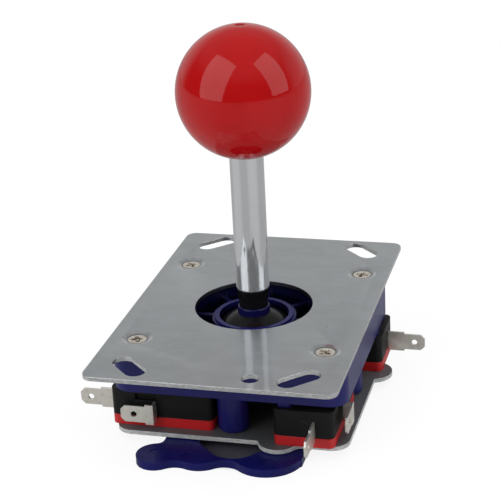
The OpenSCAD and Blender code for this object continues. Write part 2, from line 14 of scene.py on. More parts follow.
import bmesh
import bpy
import numpy as np
from mathutils import Euler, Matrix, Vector


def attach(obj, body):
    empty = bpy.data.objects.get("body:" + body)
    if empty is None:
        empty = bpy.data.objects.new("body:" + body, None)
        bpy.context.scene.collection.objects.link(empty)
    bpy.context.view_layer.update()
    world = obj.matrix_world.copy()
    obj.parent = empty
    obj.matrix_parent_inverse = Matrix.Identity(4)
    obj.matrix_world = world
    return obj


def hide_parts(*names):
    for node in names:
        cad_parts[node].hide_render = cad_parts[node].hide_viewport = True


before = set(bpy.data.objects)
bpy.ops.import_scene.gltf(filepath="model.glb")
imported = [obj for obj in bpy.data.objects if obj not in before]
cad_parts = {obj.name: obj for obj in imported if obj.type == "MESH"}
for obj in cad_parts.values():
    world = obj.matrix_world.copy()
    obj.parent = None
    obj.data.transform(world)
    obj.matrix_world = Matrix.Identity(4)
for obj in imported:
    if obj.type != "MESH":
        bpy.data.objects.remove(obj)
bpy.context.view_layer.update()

LOG = logging.getLogger("joystick")
MM = 0.001

Piece = bpy.types.Object
Colour = tuple[float, float, float]
Place = tuple[float, float, float]
Surface = tuple[np.ndarray, np.ndarray]


class Side(Enum):
    """Side of the unit that a switch lies on, as it stands in the node names."""

    FRONT = "front"
    RIGHT = "right"
    BACK = "back"
    LEFT = "left"


class Body(Enum):
    """Rigid body that a piece rides on."""

    BASE = "base"
    COIL = "spring_carrier"
    PIVOT = "pivot_block"
    LEVER = "lever"
    GATE = "gate"


# Shader maths


class Sock:
    """One output of a node. Operators on it add Math nodes to its tree."""

    def __init__(self, graph: "Graph", socket: bpy.types.NodeSocket) -> None:
        """Keeps the graph and the socket."""
        self.graph = graph
        self.socket = socket

    def _math(self, operation: str, *values: Any) -> "Sock":
        """One Math node of that operation on the values."""
        return self.graph.node("ShaderNodeMath", {"operation": operation}, list(values))

    def __add__(self, other: Any) -> "Sock":
        """Sum."""
        return self._math("ADD", self, other)

    __radd__ = __add__

    def __sub__(self, other: Any) -> "Sock":
        """Difference."""
        return self._math("SUBTRACT", self, other)

    def __rsub__(self, other: Any) -> "Sock":
        """Difference the other way round."""
        return self._math("SUBTRACT", other, self)

    def __mul__(self, other: Any) -> "Sock":
        """Product."""
        return self._math("MULTIPLY", self, other)

    __rmul__ = __mul__

    def __truediv__(self, other: Any) -> "Sock":
        """Quotient."""
        return self._math("DIVIDE", self, other)

    def __pow__(self, other: Any) -> "Sock":
        """Power."""
        return self._math("POWER", self, other)

    def __abs__(self) -> "Sock":
        """Size without sign."""
        return self._math("ABSOLUTE", self)

    def most(self, other: Any) -> "Sock":
        """The larger of the two values."""
        return self._math("MAXIMUM", self, other)

    def ramp(self, low: float, high: float) -> "Sock":
        """Smooth step of the value: 0 below low, 1 above high, falling where low > high.

        Args:
            low: Value that gives 0.
            high: Value that gives 1.

        Returns:
            The step, from 0 to 1.
        """
        first, last = (0.0, 1.0) if low < high else (1.0, 0.0)
        return self.graph.node(
            "ShaderNodeMapRange",
            {"interpolation_type": "SMOOTHSTEP", "clamp": True},
            {"Value": self, "From Min": min(low, high), "From Max": max(low, high),
             "To Min": first, "To Max": last},
        )


class Graph:
    """Node tree of one material or of the world, written as expressions."""

    def __init__(self, tree: bpy.types.NodeTree) -> None:
        """Empties the tree and keeps it."""
        self.tree = tree
        tree.nodes.clear()

    def node(self, kind: str, settings: dict[str, Any], values: Any, out: int | str = 0) -> Sock:
        """Adds a node, sets it up and feeds it.

        Args:
            kind: Type of the node.
            settings: Properties of the node, set before its sockets.
            values: Socket values or links, by name or in order.
            out: Output that the result stands for.

        Returns:
            The chosen output.
        """
        made = self.tree.nodes.new(kind)
        for name, value in settings.items():
            setattr(made, name, value)
        pairs = values.items() if isinstance(values, dict) else enumerate(values)
        for key, value in pairs:
            self.feed(made.inputs[key], value)
        return Sock(self, made.outputs[out])

    def feed(self, socket: bpy.types.NodeSocket, value: Any) -> None:
        """Links a Sock to the socket, or sets a plain value on it.

        Args:
            socket: Input to feed.
            value: Sock, colour or number.
        """
        if isinstance(value, Sock):
            self.tree.links.new(value.socket, socket)
        elif socket.type == "RGBA" and len(value) == 3:
            socket.default_value = (*value, 1.0)
        else:
            socket.default_value = value

    def end(self, kind: str, shader: Sock) -> None:
        """Links the shader to an output node of that kind."""
        self.tree.links.new(shader.socket, self.tree.nodes.new(kind).inputs["Surface"])

    def place(self) -> Sock:
        """The object's own coordinates in metres."""
        return self.node("ShaderNodeTexCoord", {}, {}, "Object")

    def parts(self, vector: Sock) -> tuple[Sock, Sock, Sock]:
        """The three parts of a vector."""
        split = self.node("ShaderNodeSeparateXYZ", {}, {0: vector}).socket.node
        return tuple(Sock(self, split.outputs[i]) for i in range(3))

    def axes(self) -> tuple[Sock, Sock, Sock]:
        """The three coordinates of the place, each in millimetres."""
        return self.parts(self.node("ShaderNodeVectorMath", {"operation": "SCALE"},
                                    {0: self.place(), "Scale": 1 / MM}))

    def facing(self) -> tuple[Sock, Sock, Sock]:
        """The three parts of the surface's normal."""
        return self.parts(self.node("ShaderNodeNewGeometry", {}, {}, "Normal"))

    def rays(self) -> tuple[Sock, Sock]:
        """Switches for the kinds of rays.

        Returns:
            1 for what the camera sees, straight or through, and 1 for mirrored rays.
        """
        path = self.node("ShaderNodeLightPath", {}, {}).socket.node
        seen, glossy, through = (Sock(self, path.outputs[f"Is {word} Ray"])
                                 for word in ("Camera", "Glossy", "Transmission"))
        return seen.most(through), glossy

    def stretched(self, stretch: Place) -> Sock:
        """The place with each axis multiplied, for streaks."""
        return self.node("ShaderNodeMapping", {"vector_type": "POINT"},
                         {"Vector": self.place(), "Scale": stretch})

    def noise(self, grain_mm: float, detail: float = 3.0, rough: float = 0.55,
              stretch: Place = (1.0, 1.0, 1.0), seed: float = 0.0) -> Sock:
        """Soft noise over the place.

        Args:
            grain_mm: Size of its largest grains.
            detail: Number of finer layers.
            rough: Weight of the finer layers.
            stretch: Factor on each axis, so that a small one makes long streaks.
            seed: Fourth coordinate, which sets the draw.

        Returns:
            A value around one half.
        """
        return self.node("ShaderNodeTexNoise", {"noise_dimensions": "4D"}, {
            "Vector": self.stretched(stretch), "W": seed, "Scale": 1 / (grain_mm * MM),
            "Detail": detail, "Roughness": rough})

    def cells(self, size_mm: float, stretch: Place = (1.0, 1.0, 1.0),
              feature: str = "F1", out: str = "Distance") -> Sock:
        """Cell pattern over the place: the distance to the nearest of its points."""
        return self.node("ShaderNodeTexVoronoi", {"feature": feature, "voronoi_dimensions": "3D"},
                         {"Vector": self.stretched(stretch), "Scale": 1 / (size_mm * MM)}, out)

    def blend(self, share: Any, first: Any, second: Any) -> Sock:
        """Colour between two colours.

        Args:
            share: Weight of the second colour.
            first: Colour at share 0.
            second: Colour at share 1.

        Returns:
            The mixed colour.
        """
        made = self.tree.nodes.new("ShaderNodeMix")
        made.data_type = "RGBA"
        ends = [socket for socket in made.inputs if socket.type == "RGBA"]
        for socket, value in zip((made.inputs["Factor"], *ends), (share, first, second)):
            self.feed(socket, value)
        return Sock(self, next(socket for socket in made.outputs if socket.type == "RGBA"))

    def bump(self, height: Any, depth_mm: float, strength: float = 1.0) -> Sock:
        """Normal of a surface that rises by height times a depth."""
        return self.node("ShaderNodeBump", {},
                         {"Strength": strength, "Distance": depth_mm * MM, "Height": height})


def distance(x: Sock, y: Sock) -> Sock:
    """Distance (x^2 + y^2)^0.5 from the middle."""
    return (x * x + y * y) ** 0.5


# Finishes


@dataclass(frozen=True)
class Finish:
    """Surface finish: its fixed numbers, and how its colour, gloss and grain vary."""

    name: str
    slot: str
    colour: Colour
    rough: float = 0.4
    metal: float = 0.0
    coat: float = 0.0
    coat_rough: float = 0.05
    ior: float = 1.5

    def paint(self, graph: Graph) -> dict[str, Any]:
        """Inputs that vary over the surface. Plain finishes have a little mottle.

        Args:
            graph: Tree to add nodes to.

        Returns:
            Shader sockets with their links.
        """
        mottle = graph.noise(4.0, 4.0)
        return {
            "Base Color": graph.blend(mottle.ramp(0.35, 0.7), self.colour,
                                      shade(self.colour, 0.86)),
            "Roughness": mottle * 0.12 + (self.rough - 0.06),
        }

    def material(self) -> bpy.types.Material:
        """The material, made once and shared by all its pieces.

        Returns:
            The material.
        """
        made = bpy.data.materials.get(self.name)
        if made:
            return made
        made = bpy.data.materials.new(self.name)
        made.use_nodes = True
        graph = Graph(made.node_tree)
        fixed = {
            "Base Color": self.colour, "Roughness": self.rough, "Metallic": self.metal,
            "Coat Weight": self.coat, "Coat Roughness": self.coat_rough, "IOR": self.ior,
        }
        shader = graph.node("ShaderNodeBsdfPrincipled", {}, {**fixed, **self.paint(graph)})
        graph.end("ShaderNodeOutputMaterial", shader)
        return made


def shade(colour: Colour, factor: float) -> Colour:
    """The colour multiplied by a factor."""
    return tuple(min(1.0, c * factor) for c in colour)


@dataclass(frozen=True)
class RolledSteel(Finish):
    """Zinc-plated sheet: rolled streaks across, smudges, dark specks, worn edges with a painted
    highlight.

    With a seat_reach, its screw seats lie that far from the middle along X and Y: each has
    painted shade in the gap round the screw and a painted highlight on its slope, and the
    large bore's wall has painted shade.
    """

    streak: Place = (0.02, 1.0, 1.0)
    # pale grey of scratches and worn edges, which on the edges is also painted highlight
    wear_and_highlight: Colour = (0.52, 0.53, 0.53)
    speck: Colour = (0.035, 0.033, 0.03)
    chip: Colour = (0.05, 0.048, 0.05)
    # painted shade in the gap round each screw
    gap: Colour = (0.03, 0.028, 0.026)
    # painted shade on the large bore's wall
    bore_wall_shade: Colour = (0.03, 0.03, 0.05)
    seat_reach: float = 0.0
    seat_r: float = 2.72
    slope_r: float = 3.7
    bore_r: float = 15.9

    def paint(self, graph: Graph) -> dict[str, Any]:
        """Streaks run along X; the cut edges are rougher, chipped and brighter from wear and
        painted highlight.

        Args:
            graph: Tree to add nodes to.

        Returns:
            Shader sockets with their links.
        """
        x, y, _ = graph.axes()
        _, _, up = graph.facing()
        streaks = graph.noise(0.7, 3.0, 0.6, self.streak)
        broad = graph.noise(26.0, 3.0, 0.5, seed=2.0)
        cloud = graph.noise(5.0, 5.0, 0.7, (0.6, 1.0, 1.0), 13.0)
        smudge = graph.noise(9.0, 4.0, 0.6, seed=5.0).ramp(0.5, 0.72)
        specks = (graph.cells(5.2).ramp(0.05, 0.028)
                  * graph.noise(3.0, 2.0, seed=8.0).ramp(0.5, 0.6))
        scratch = (graph.cells(7.0, (1.0, 0.04, 1.0), "DISTANCE_TO_EDGE").ramp(0.012, 0.002)
                   * graph.noise(5.0, 2.0, seed=4.0).ramp(0.56, 0.66))
        edge = abs(up).ramp(0.97, 0.6)
        chips = graph.noise(0.7, 3.0, 0.7, seed=11.0).ramp(0.66, 0.73) * edge
        bright = graph.noise(0.5, 3.0, 0.7, (0.3, 0.3, 1.0), 15.0).ramp(0.42, 0.62)
        flat = graph.blend(broad.ramp(0.35, 0.68) * 0.55, self.colour, shade(self.colour, 0.84))
        clouded = graph.blend(cloud.ramp(0.4, 0.68) * 0.5, flat, shade(self.colour, 1.2))
        grain = graph.blend(streaks.ramp(0.35, 0.7) * 0.24, clouded, shade(self.colour, 1.25))
        dirty = graph.blend(specks * 0.85, grain, self.speck)
        lined = graph.blend(scratch * 0.35, dirty, self.wear_and_highlight)
        # painted highlight, together with wear: the cut edges turn a brighter grey
        rim = graph.blend(edge * 0.85, lined, graph.blend(bright, shade(self.wear_and_highlight, 0.88),
                                                          shade(self.wear_and_highlight, 1.28)))
        whole = graph.blend(chips * 0.8, rim, self.chip)
        if self.seat_reach:
            # painted shade in the gap round each screw, painted highlight on each seat's slope,
            # painted shade on the bore's wall
            away = distance(abs(x) - self.seat_reach, abs(y) - self.seat_reach)
            seat_gap_shade = abs(away - self.seat_r).ramp(0.3, 0.08) * cloud.ramp(0.3, 0.6)
            slope_highlight = abs(away - self.slope_r).ramp(0.5, 0.1)
            pale = graph.blend(slope_highlight * bright * 0.7, whole, shade(self.wear_and_highlight, 1.3))
            bore = distance(x, y).ramp(self.bore_r + 0.4, self.bore_r + 0.15) * edge
            dark = graph.blend(bore * 0.85, pale, self.bore_wall_shade)
            whole = graph.blend(seat_gap_shade * 0.85, dark, self.gap)
        return {
            "Base Color": whole,
            "Roughness": (streaks * 0.05 + smudge * 0.08 + cloud * 0.1 + edge * 0.15
                          + specks * 0.4 + (self.rough - 0.08)),
            "Metallic": self.metal - specks * 0.8 - chips * 0.6,
            "Normal": graph.bump(streaks * 0.4 + scratch * -0.5 + specks * 0.8 + broad * 6.0,
                                 0.012, 0.6),
        }


@dataclass(frozen=True)
class Chrome(Finish):
    """Bright plated steel with a few hairlines round it and faint wipe marks.

    Smudges and a haze begin at their upper heights and are full at the lower ones. The haze
    also darkens the colour, which is painted shade.
    """

    smudge_z: tuple[float, float] = (14.0, 5.0)
    haze_and_shade_z: tuple[float, float] = (26.0, 12.0)

    def paint(self, graph: Graph) -> dict[str, Any]:
        """Hairlines run round the shaft; wipe marks and a haze at its foot dull it, and painted
        shade darkens the foot.

        Args:
            graph: Tree to add nodes to.

        Returns:
            Shader sockets with their links.
        """
        _, _, z = graph.axes()
        wipe = graph.noise(7.0, 4.0, 0.6, (1.0, 1.0, 0.25)).ramp(0.5, 0.75)
        hair = graph.noise(0.35, 2.0, 0.6, (0.05, 0.05, 1.0), 3.0).ramp(0.62, 0.74)
        foot = z.ramp(*self.smudge_z) * graph.noise(1.2, 3.0, seed=6.0).ramp(0.5, 0.66)
        haze_and_shade = z.ramp(*self.haze_and_shade_z)
        return {
            # painted shade: the haze share darkens the colour towards the foot, along with wipe
            # marks and smudges
            "Base Color": graph.blend(wipe * 0.4 + foot * 0.3 + haze_and_shade * 0.5, self.colour,
                                      shade(self.colour, 0.82)),
            "Roughness": self.rough + wipe * 0.05 + hair * 0.06 + foot * 0.12 + haze_and_shade * 0.05,
            "Metallic": self.metal - haze_and_shade * 0.2,
            "Normal": graph.bump(hair, 0.002, 0.4),
        }


@dataclass(frozen=True)
class MouldedPlastic(Finish):
    """Injection-moulded plastic: flow mottle, fine grain, rubbed edges and dust in corners."""

    grain_mm: float = 0.35
    grain_depth_mm: float = 0.012
    dust: float = 0.12
    lint: Colour = (0.35, 0.35, 0.36)

    def paint(self, graph: Graph) -> dict[str, Any]:
        """Dust lies on what faces up; flow lines change the gloss.

        Args:
            graph: Tree to add nodes to.

        Returns:
            Shader sockets with their links.
        """
        _, _, up = graph.facing()
        flow = graph.noise(11.0, 4.0, 0.6, (1.0, 1.0, 0.45))
        grain = graph.noise(self.grain_mm, 2.0, 0.6, seed=2.0)
        lint = (graph.cells(1.7).ramp(0.06, 0.03) * up.ramp(0.3, 0.8)
                * graph.noise(2.5, 2.0, seed=9.0).ramp(0.55, 0.62))
        scuff = (graph.cells(4.0, (1.0, 0.2, 0.6), "DISTANCE_TO_EDGE").ramp(0.02, 0.004)
                 * graph.noise(4.0, 2.0, seed=7.0).ramp(0.56, 0.66))
        pale = tuple((c + g) / 2 for c, g in zip(self.colour, self.lint))
        body = graph.blend(flow.ramp(0.35, 0.7), self.colour, shade(self.colour, 0.8))
        dusted = graph.blend(lint * self.dust + scuff * 0.12, body, pale)
        return {
            "Base Color": dusted,
            "Roughness": self.rough - 0.05 + flow * 0.1 + scuff * 0.15 + lint * 0.3,
            "Normal": graph.bump(grain + flow * 2.0, self.grain_depth_mm, 0.5),
        }


@dataclass(frozen=True)
class WellMoulding(MouldedPlastic):
    """Moulded plastic with painted shade: it darkens with depth in the well round the ring, and
    at its rear.
    """

    well_r: float = 19.0
    ring_r: float = 11.4
    well_z: tuple[float, float] = (-2.6, -4.6)
    rear_y: tuple[float, float] = (-4.0, 8.0)
    rear_share: float = 0.75
    shade_share: float = 0.93
    soft: float = 0.5

    def paint(self, graph: Graph) -> dict[str, Any]:
        """The plain moulding, with painted shade that blends the well and the ring's inside to
        near black.

        Args:
            graph: Tree to add nodes to.

        Returns:
            Shader sockets with their links.
        """
        inputs = super().paint(graph)
        x, y, z = graph.axes()
        away = distance(x, y)
        # painted shade: deep in the well, and at the rear past the ring, the colour goes to near
        # black
        past_ring = away.ramp(self.ring_r + self.soft / 2, self.ring_r + self.soft * 1.5)
        rear = past_ring * y.ramp(*self.rear_y) * self.rear_share
        inside = away.ramp(self.well_r, self.well_r - self.soft)
        share = inside * z.ramp(*self.well_z).most(rear) * self.shade_share
        inputs["Base Color"] = graph.blend(share, inputs["Base Color"], shade(self.colour, 0.06))
        return inputs


@dataclass(frozen=True)
class PolishedBall(Finish):
    """Cast red plastic under a clear gloss, with a faint swirl, hairlines and a dark pit."""

    pit_r: tuple[float, float] = (1.5, 0.9)
    pit_z: tuple[float, float] = (74.0, 76.0)

    def paint(self, graph: Graph) -> dict[str, Any]:
        """The swirl is a slow change of red; hairlines only touch the gloss.

        Args:
            graph: Tree to add nodes to.

        Returns:
            Shader sockets with their links.
        """
        swirl = graph.noise(22.0, 3.0, 0.5)
        hair = (graph.cells(6.0, (1.0, 1.0, 0.15), "DISTANCE_TO_EDGE").ramp(0.01, 0.002)
                * graph.noise(6.0, 2.0, seed=4.0).ramp(0.58, 0.68))
        x, y, z = graph.axes()
        pit = distance(x, y).ramp(*self.pit_r) * z.ramp(*self.pit_z)
        body = graph.blend(swirl.ramp(0.35, 0.7), self.colour, shade(self.colour, 0.88))
        return {
            "Base Color": graph.blend(pit * 0.55, body, shade(self.colour, 0.35)),
            "Roughness": self.rough + hair * 0.12 + swirl.ramp(0.5, 0.8) * 0.02,
            "Normal": graph.bump(graph.noise(9.0, 2.0, 0.4, seed=1.0), 0.01, 0.35),
        }


@dataclass(frozen=True)
class TurnedMetal(Finish):
    """Small turned or stamped metal piece: fine grain, tarnish in patches, painted shade on
    sideways faces.

    With a head_reach, screw heads lie that far from the middle along X and Y, and tarnish
    with painted shade fills their recesses and rims.
    """

    tarnish_and_shade: Colour = (0.2, 0.16, 0.1)
    tarnish_and_shade_share: float = 0.4
    grain_depth_mm: float = 0.01
    head_reach: float = 0.0
    recess_r: tuple[float, float] = (1.25, 0.45)
    rim_r: tuple[float, float] = (2.3, 2.6)

    def paint(self, graph: Graph) -> dict[str, Any]:
        """Tarnish gathers in patches; painted shade in the same colour darkens what faces
        sideways.

        Args:
            graph: Tree to add nodes to.

        Returns:
            Shader sockets with their links.
        """
        _, _, up = graph.facing()
        fine = graph.noise(0.25, 3.0, 0.65)
        patch = graph.noise(1.6, 4.0, 0.6, seed=3.0).ramp(0.45, 0.7)
        # painted shade: faces that turn sideways are darkened in the tarnish colour
        side = abs(up).ramp(0.9, 0.3)
        tarnish_and_shade_mask = (patch * 0.6 + side * 0.4) * self.tarnish_and_shade_share
        if self.head_reach:
            x, y, _ = graph.axes()
            away = distance(abs(x) - self.head_reach, abs(y) - self.head_reach)
            # tarnish and painted shade in each head's cross recess and round its rim
            tarnish_and_shade_mask = tarnish_and_shade_mask.most(away.ramp(*self.recess_r) * 0.9).most(away.ramp(*self.rim_r) * 0.7)
        clean = graph.blend(fine.ramp(0.4, 0.7) * 0.4, self.colour, shade(self.colour, 0.75))
        return {
            "Base Color": graph.blend(tarnish_and_shade_mask, clean, self.tarnish_and_shade),
            "Roughness": self.rough + fine * 0.1 + tarnish_and_shade_mask * 0.25,
            "Normal": graph.bump(fine, self.grain_depth_mm, 0.5),
        }


ZINC = RolledSteel("zinc_sheet", "zinc_steel", (0.42, 0.444, 0.46), rough=0.3, metal=1.0,
                   coat=0.6, coat_rough=0.05, seat_reach=25.0)
# bottom plate: a duller finish of the same zinc sheet, made darker with painted shade
DULL_SHADED_ZINC = RolledSteel("dull_zinc_sheet_shaded", "zinc_steel", (0.122, 0.128, 0.136), rough=0.48,
                        metal=0.35)
CHROME = Chrome("bright_plating", "chrome_steel", (0.66, 0.67, 0.69), rough=0.035, metal=1.0)
BLUE = MouldedPlastic("blue_moulding", "blue_plastic", (0.0056, 0.0062, 0.094), rough=0.36,
                      ior=1.26)
# housing blue with painted shade in its well and at its rear
WELL_BLUE = WellMoulding("blue_housing_moulding", "blue_plastic", (0.0070, 0.0069, 0.092),
                         rough=0.34, ior=1.34)
# painted shade: a darker copy of the same blue plastic, for the pivot that sits in shade
SHADED_BLUE = MouldedPlastic("blue_pivot_moulding_shaded", "blue_plastic", (0.005, 0.0045, 0.05),
                           rough=0.28, ior=1.36)
BLACK = MouldedPlastic("black_case_moulding", "black_plastic", (0.0068, 0.0068, 0.0071),
                       rough=0.46, ior=1.25, grain_mm=0.25, grain_depth_mm=0.02)
RED = MouldedPlastic("red_cover_moulding", "red_plastic", (0.45, 0.008, 0.010), rough=0.42,
                     ior=1.42)
GLOSS_BLACK = MouldedPlastic("black_gloss_moulding", "black_gloss", (0.006, 0.006, 0.007),
                             rough=0.17, ior=1.27, grain_depth_mm=0.004)
BALL = PolishedBall("ball_gloss", "red_gloss", (0.372, 0.0044, 0.0054), rough=0.06, ior=1.34)
SCREW = TurnedMetal("screw_plating", "screw_metal", (0.86, 0.81, 0.72), rough=0.2, metal=1.0,
                    tarnish_and_shade=(0.08, 0.05, 0.028), tarnish_and_shade_share=0.75, grain_depth_mm=0.035,
                    head_reach=25.0)
TINNED = TurnedMetal("tinned_blade", "tinned_metal", (0.77, 0.755, 0.70), rough=0.34, metal=0.9,
                     tarnish_and_shade=(0.36, 0.32, 0.25), tarnish_and_shade_share=0.4)
WIRE = TurnedMetal("spring_wire", "spring_steel", (0.5, 0.5, 0.5), rough=0.28, metal=1.0)
BRASS = TurnedMetal("turned_brass", "brass", (0.72, 0.53, 0.25), rough=0.25, metal=1.0)
CLIP = TurnedMetal("clip_steel", "zinc_steel", (0.42, 0.42, 0.43), rough=0.3, metal=1.0)


# Meshes


def wrap_grid(rows: int, columns: int, rows_wrap: bool, columns_wrap: bool) -> np.ndarray:
    """Corner numbers of the quads of a grid of points.

    Each cell joins points (i, j), (i, j+1), (i+1, j+1) and (i+1, j), where a wrapped
    direction comes back to its first line.

    Args:
        rows: Points along the first direction.
        columns: Points along the second direction.
        rows_wrap: Whether the first direction closes on itself.
        columns_wrap: Whether the second direction closes on itself.

    Returns:
        An array of four corner numbers per quad.
    """
    i = np.arange(rows if rows_wrap else rows - 1)[:, None]
    j = np.arange(columns if columns_wrap else columns - 1)[None, :]
    k, m = (i + 1) % rows, (j + 1) % columns
    corners = (i * columns + j, i * columns + m, k * columns + m, k * columns + j)
    return np.stack(np.broadcast_arrays(*corners), -1).reshape(-1, 4)


def turned(profile: np.ndarray, steps: int, closed: bool) -> Surface:
    """Surface of turning: each profile point (r, z) goes round Z as (r cos t, r sin t, z).

    Args:
        profile: Points (r, z) in millimetres, in order along the outline.
        steps: Points round the axis.
        closed: Whether the outline comes back to its first point.

    Returns:
        Points in millimetres and quads.
    """
    t = np.linspace(0, 2 * np.pi, steps, endpoint=False)
    r, z = profile[:, 0][:, None], profile[:, 1][:, None]
    points = np.stack([r * np.cos(t), r * np.sin(t), z + 0 * t], -1).reshape(-1, 3)
    return points, wrap_grid(len(profile), steps, closed, True)


def rounded_outline(corners: list[tuple[float, float, float]], steps: int = 6,
                    closed: bool = True, hold: float = 0.04) -> np.ndarray:
    """Outline through corners (r, z, fillet), each rounded by an arc of its fillet.

    At a corner with unit directions a and b to its neighbours, the arc is drawn as the
    curve (1-s)^2 P + 2 s (1-s) C + s^2 Q between the points at the fillet's length. A
    point just before and after each arc keeps the flats beside it flat in smooth shading.

    Args:
        corners: Corner points with the length that their rounding takes on each side.
        steps: Points on each rounding.
        closed: Whether the outline comes back to its first corner.
        hold: Distance of the extra points from the arc's ends.

    Returns:
        Points (r, z) in order.
    """
    at = np.array(corners, float)
    point, cut = at[:, :2], at[:, 2:]
    before, after = np.roll(point, 1, 0) - point, np.roll(point, -1, 0) - point
    unit = [v / np.maximum(np.linalg.norm(v, axis=1, keepdims=True), 1e-9)
            for v in (before, after)]
    start, end = point + unit[0] * cut, point + unit[1] * cut
    s = np.linspace(0, 1, steps)[None, :, None]
    arc = (1 - s) ** 2 * start[:, None] + 2 * s * (1 - s) * point[:, None] + s ** 2 * end[:, None]
    extra = np.minimum(hold, cut)
    arc = np.concatenate([(start + unit[0] * extra)[:, None], arc,
                          (end + unit[1] * extra)[:, None]], 1)
    if not closed:
        arc[0], arc[-1] = point[0], point[-1]
    flat = arc.reshape(-1, 2)
    keep = np.linalg.norm(flat - np.roll(flat, 1, 0), axis=1) > 1e-6
    keep[0] = True
    return flat[keep]


def swept_ring(path: np.ndarray, radius: np.ndarray, sides: int) -> Surface:
    """Round wire along a path that climbs round Z.

    Each path point P carries a circle in the plane of the outward direction e and Z: the
    points are P + radius (cos u e + sin u Z).

    Args:
        path: Middle points in millimetres.
        radius: Radius of the wire at each point; zero closes an end.
        sides: Points round the wire.

    Returns:
        Points in millimetres and quads.
    """
    u = np.linspace(0, 2 * np.pi, sides, endpoint=False)
    out = path * np.array([1, 1, 0])
    out /= np.linalg.norm(out, axis=1, keepdims=True)
    up = np.array([0, 0, 1.0])
    ring = np.cos(u)[None, :, None] * out[:, None] + np.sin(u)[None, :, None] * up
    points = (path[:, None] + radius[:, None, None] * ring).reshape(-1, 3)
    return points, wrap_grid(len(path), sides, False, True)


def put_mesh(node: str, shapes: list[Surface], finish: Finish, sharp_deg: float = 32.0) -> Piece:
    """Makes one object of one or more surfaces, with seams and poles closed.

    Args:
        node: CAD node that the object stands for.
        shapes: Points in millimetres with their quads.
        finish: Finish that dresses it.
        sharp_deg: Angle above which an edge stays sharp.

    Returns:
        The object, at the origin.
    """
    mesh = bpy.data.meshes.new(node + "_made")
    starts = np.cumsum([0] + [len(points) for points, _ in shapes])
    points = np.concatenate([p for p, _ in shapes]) * MM
    quads = np.concatenate([q + starts[i] for i, (_, q) in enumerate(shapes)])
    mesh.from_pydata(points.tolist(), [], quads.tolist())
    close_mesh(mesh, gap=1e-7)
    return show(mesh, node, finish, sharp_deg)


def close_mesh(mesh: bpy.types.Mesh, gap: float, flat_deg: float = 0.0) -> None:
    """Merges points that meet, joins flat neighbours if asked, and points the faces out.

    Args:
        mesh: Mesh to close.
        gap: Distance in metres under which points meet.
        flat_deg: Angle under which neighbours are joined; zero leaves them.
    """
    work = bmesh.new()
    work.from_mesh(mesh)
    bmesh.ops.remove_doubles(work, verts=work.verts, dist=gap)
    bmesh.ops.dissolve_degenerate(work, edges=work.edges, dist=gap)
    if flat_deg:
        bmesh.ops.dissolve_limit(work, angle_limit=math.radians(flat_deg), verts=work.verts,
                                 edges=work.edges)
    bmesh.ops.recalc_face_normals(work, faces=work.faces)
    work.to_mesh(mesh)
    work.free()


def show(mesh: bpy.types.Mesh, node: str, finish: Finish, sharp_deg: float) -> Piece:
    """Shades the mesh, dresses it and puts it into the scene.

    Args:
        mesh: Mesh of the piece.
        node: CAD node that it stands for, which gives its name.
        finish: Finish that dresses it.
        sharp_deg: Angle above which an edge stays sharp.

    Returns:
        The object, at the origin.
    """
    mesh.shade_smooth()
    mesh.set_sharp_from_angle(angle=math.radians(sharp_deg))
    mesh.materials.clear()
    mesh.materials.append(finish.material())
    made = bpy.data.objects.new(node + "_made", mesh)
    bpy.context.scene.collection.objects.link(made)
    return made


def softened(node: str, finish: Finish, edge_mm: float, steps: int = 2,
             sharp_deg: float = 30.0) -> Piece:
    """A copy of a CAD node with its edges rounded by a small bevel.

    Args:
        node: Name of the CAD node.
        finish: Finish that dresses the copy.
        edge_mm: Width of the rounding.
        steps: Faces across the rounding.
        sharp_deg: Angle above which an edge is rounded.

    Returns:
        The copy.
    """
    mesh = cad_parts[node].data.copy()
    close_mesh(mesh, gap=2e-6, flat_deg=0.6)
    made = show(mesh, node, finish, sharp_deg)
    bevel = made.modifiers.new("edges", "BEVEL")
    bevel.width = edge_mm * MM
    bevel.segments = steps
    bevel.limit_method = "ANGLE"
    bevel.angle_limit = math.radians(sharp_deg)
    bevel.harden_normals = True
    bevel.miter_outer = "MITER_ARC"
    return made


def fit(piece: Piece, body: str, nodes: list[str]) -> None:
    """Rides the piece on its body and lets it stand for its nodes.

    Args:
        piece: Finished object.
        body: Rigid body that carries it.
        nodes: CAD nodes that it replaces.
    """
    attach(piece, body)
    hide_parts(*nodes)
    LOG.info("%s on %s: %d faces", piece.name, body, len(piece.data.polygons))


# Sub-assemblies


